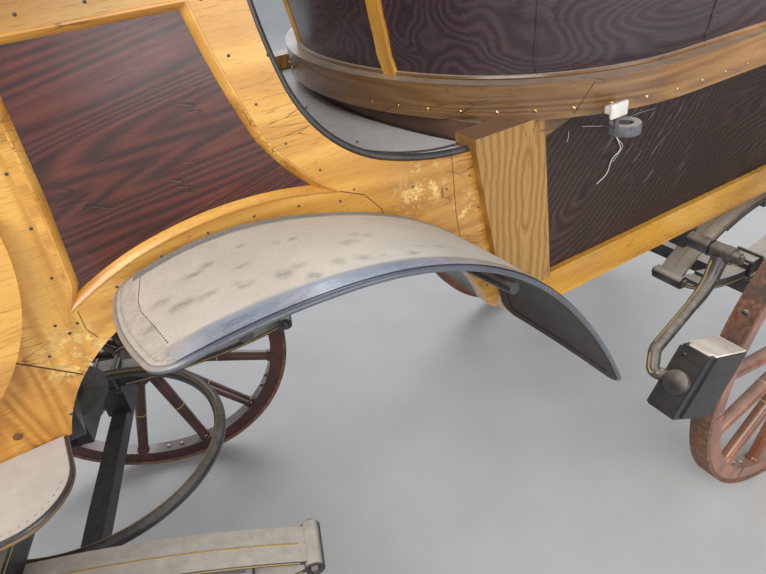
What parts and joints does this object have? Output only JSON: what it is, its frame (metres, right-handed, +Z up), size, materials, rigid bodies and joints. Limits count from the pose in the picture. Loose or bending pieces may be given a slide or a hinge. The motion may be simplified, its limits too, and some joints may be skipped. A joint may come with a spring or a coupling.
{
  "type": "horse drawn carriage",
  "caption": "Open four-wheeled horse drawn carriage with shafts, a raised front seat, a low entrance over a cut-under wheel arch, leather mudguards and a rounded rear seat tub.",
  "frame": {"origin": "centre of the bounding box on the ground; the body's centre plane lies 0.218 m towards -Y from it, because the turned shafts reach out on the +Y side", "axes": "+Z up; -X is the front, where the horse stands; -Y is the carriage's left side and +Y its right side"},
  "size_m": [4.831, 1.8457, 1.91],
  "materials": {
    "varnished_wood": "golden varnish",
    "dark_wood": "gloss varnish",
    "teak": "satin varnish",
    "floor_wood": "satin",
    "seat_leather": "buttoned leather",
    "black_leather": "dusty patent leather",
    "black_iron": "gloss black paint, dusty",
    "black_timber": "black paint",
    "shaft_wood": "gloss varnish",
    "iron_tyre": "rusty brown",
    "wheel_wood": "dark varnish",
    "brass": "polished"
  },
  "bodies": {
    "body": {"side_frames": "varnished_wood", "front_panels": "dark_wood", "rear_posts": "teak", "lower_panels": "dark_wood", "sills": "varnished_wood", "tail_panel": "dark_wood", "boot_floor": "floor_wood", "tub_panels": "dark_wood", "tub_rail": "varnished_wood", "tub_top_rail": "varnished_wood", "tub_floor": "floor_wood", "passenger_seat_board": "floor_wood", "passenger_cushion": "seat_leather", "passenger_backrest": "seat_leather", "footwell_floor": "floor_wood", "arch_lining": "floor_wood", "driver_floor": "floor_wood", "driver_box": "dark_wood", "cheek_boards": "varnished_wood", "driver_cushion": "seat_leather", "driver_seat_rail": "black_iron", "driver_backrest": "seat_leather", "toe_board": "floor_wood", "dashboard": "black_leather", "mudguards": "black_leather", "mudguard_irons": "black_iron", "turntable_top": "black_iron", "brake_brackets": "black_iron", "rear_axle": "black_iron", "rear_springs": "black_iron"},
    "fore_carriage": {"front_axle": "black_iron", "front_springs": "black_iron", "fore_bed": "black_timber", "turning_ring": "black_iron", "futchells": "black_timber", "splinter_bar": "black_timber", "shaft_pins": "black_iron"},
    "shafts": {"shafts": "shaft_wood"},
    "brake": {"brake_shaft": "black_iron", "brake_blocks": "black_iron"},
    "front_left_wheel": {"tyre_front_left": "iron_tyre", "wheel_front_left": "wheel_wood", "hub_cap_front_left": "brass"},
    "front_right_wheel": {"tyre_front_right": "iron_tyre", "wheel_front_right": "wheel_wood", "hub_cap_front_right": "brass"},
    "rear_left_wheel": {"tyre_rear_left": "iron_tyre", "wheel_rear_left": "wheel_wood", "hub_cap_rear_left": "brass"},
    "rear_right_wheel": {"tyre_rear_right": "iron_tyre", "wheel_rear_right": "wheel_wood", "hub_cap_rear_right": "brass"}
  },
  "joints": [
    {"name": "steering", "type": "hinge", "parent": "body", "child": "fore_carriage", "pos_m": [0.1997, -0.2179, 0.78], "axis": [0, 0, 1], "range_deg": [-40.5, 79.5]},
    {"name": "shaft_hinge", "type": "hinge", "parent": "fore_carriage", "child": "shafts", "pos_m": [-0.48089, 0.02311, 0.704], "axis": [0.3338, 0.9426, 0], "range_deg": [0, 38]},
    {"name": "front_left_wheel_spin", "type": "hinge", "parent": "fore_carriage", "child": "front_left_wheel", "pos_m": [-0.03061, -0.74845, 0.45], "axis": [0.3338, 0.9426, 0], "continuous": true},
    {"name": "front_right_wheel_spin", "type": "hinge", "parent": "fore_carriage", "child": "front_right_wheel", "pos_m": [0.3546, 0.33936, 0.45], "axis": [0.3338, 0.9426, 0], "continuous": true},
    {"name": "rear_left_wheel_spin", "type": "hinge", "parent": "body", "child": "rear_left_wheel", "pos_m": [1.9157, -0.7949, 0.5], "axis": [0, 1, 0], "continuous": true},
    {"name": "rear_right_wheel_spin", "type": "hinge", "parent": "body", "child": "rear_right_wheel", "pos_m": [1.9157, 0.3591, 0.5], "axis": [0, 1, 0], "continuous": true},
    {"name": "brake_swing", "type": "hinge", "parent": "body", "child": "brake", "pos_m": [1.5117, -0.2179, 0.832], "axis": [0, 1, 0], "range_deg": [0, 8]}
  ]
}
